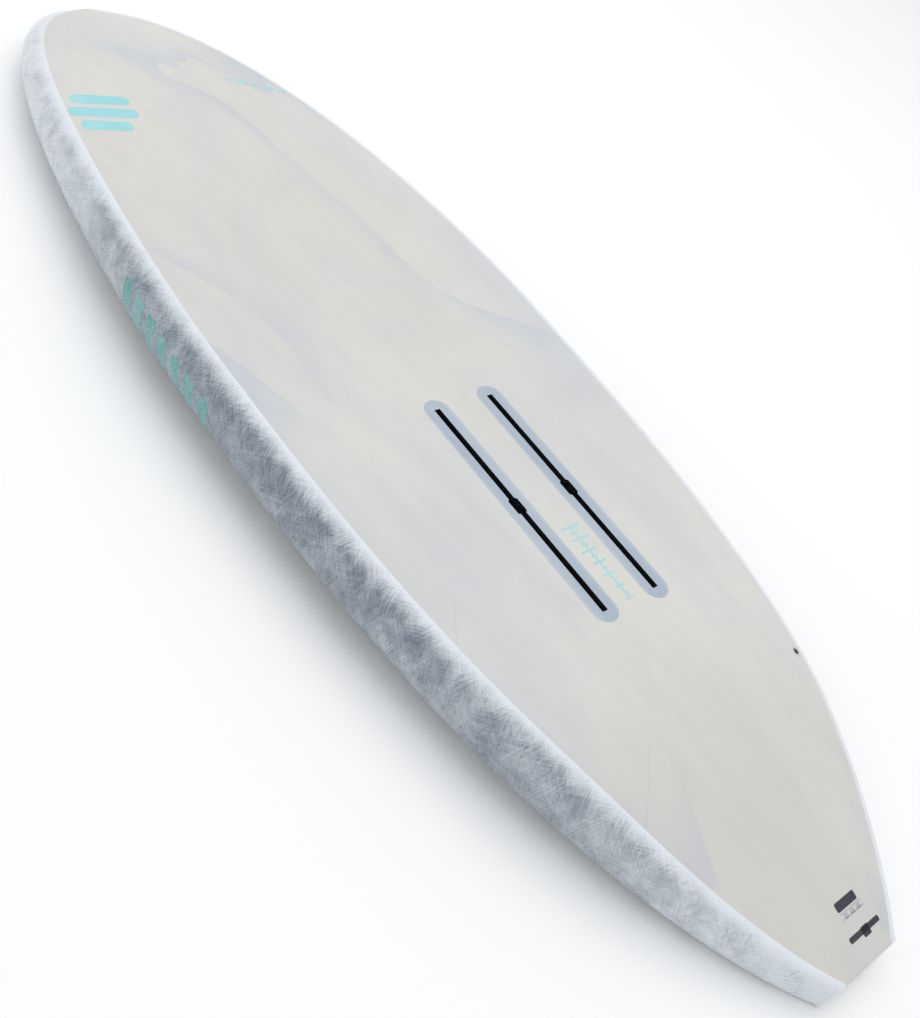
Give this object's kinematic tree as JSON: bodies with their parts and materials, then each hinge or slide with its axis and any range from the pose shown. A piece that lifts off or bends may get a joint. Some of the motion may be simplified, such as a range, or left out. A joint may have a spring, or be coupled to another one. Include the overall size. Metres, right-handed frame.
{
  "type": "foil board",
  "caption": "Short, wide sailing foil board lying bottom up, with parallel slotted foil tracks, rounded nose, square tail and padded deck.",
  "frame": {"origin": "on the surface that the deck pads rest on, under the middle of the board's length and width", "axes": "+X to the nose, +Y to the side whose rail is in view, +Z out of the bottom; the board lies deck down, bottom up"},
  "size_m": [1.7879, 0.5704, 0.129],
  "materials": {
    "foam": "fine closed foam",
    "dense_foam": "dense structural foam",
    "stringer": "laminate web",
    "bottom_finish": "glossy marbled laminate",
    "deck_finish": "satin laminate",
    "rail_finish": "brushed translucent laminate",
    "end_finish": "glossy laminate",
    "patch_finish": "clear laminate over pale blue foam",
    "track_plastic": "black moulded plastic",
    "stainless": "satin",
    "pad_foam": "grooved closed-cell foam",
    "vent_metal": "satin",
    "vent_dark": "satin",
    "seal_rubber": "matte",
    "membrane": "thin felted film"
  },
  "bodies": {
    "board": {"core_centre": "foam", "core_left": "foam", "core_right": "foam", "stringer_left": "stringer", "stringer_right": "stringer", "bottom_skin": "bottom_finish", "deck_skin": "deck_finish", "rail_left": "rail_finish", "rail_right": "rail_finish", "nose_block": "end_finish", "tail_block": "end_finish", "track_block_left": "dense_foam", "track_block_right": "dense_foam", "track_patch_left": "patch_finish", "track_patch_right": "patch_finish", "track_box_left": "track_plastic", "track_box_right": "track_plastic", "mast_block": "dense_foam", "mast_box": "track_plastic", "strap_inserts": "track_plastic", "deck_pad_front": "pad_foam", "deck_pad_rear": "pad_foam", "vent_housing": "vent_metal", "vent_membrane": "membrane", "leash_cup": "track_plastic", "leash_pin": "stainless"},
    "nut_fore_left": {"foil_nut_fore_left": "stainless"},
    "nut_fore_right": {"foil_nut_fore_right": "stainless"},
    "nut_aft_left": {"foil_nut_aft_left": "stainless"},
    "nut_aft_right": {"foil_nut_aft_right": "stainless"},
    "mast_slider": {"mast_nut": "stainless"},
    "vent_seal": {"vent_o_ring": "seal_rubber"},
    "vent_plug": {"vent_screw": "vent_dark"}
  },
  "joints": [
    {"name": "nut_fore_left_slide", "type": "slide", "parent": "board", "child": "nut_fore_left", "axis": [1, 0, 0], "range_m": [-0.058, 0.072]},
    {"name": "nut_fore_right_slide", "type": "slide", "parent": "board", "child": "nut_fore_right", "axis": [1, 0, 0], "range_m": [-0.058, 0.072]},
    {"name": "nut_aft_left_slide", "type": "slide", "parent": "board", "child": "nut_aft_left", "axis": [1, 0, 0], "range_m": [-0.072, 0.058]},
    {"name": "nut_aft_right_slide", "type": "slide", "parent": "board", "child": "nut_aft_right", "axis": [1, 0, 0], "range_m": [-0.072, 0.058]},
    {"name": "mast_nut_slide", "type": "slide", "parent": "board", "child": "mast_slider", "axis": [1, 0, 0], "range_m": [-0.0915, 0.0915]},
    {"name": "vent_lift", "type": "slide", "parent": "board", "child": "vent_seal", "axis": [-0.142, -0.2536, 0.9568], "range_m": [0, 0.003]},
    {"name": "vent_turn", "type": "hinge", "parent": "vent_seal", "child": "vent_plug", "pos_m": [-0.582, -0.186, 0.10723], "axis": [-0.142, -0.2536, 0.9568], "range_deg": [0, 1080.5]}
  ],
  "couplings": [
    {"joint": "vent_turn", "follows": "vent_lift", "rad_per_m": 6283.2}
  ]
}
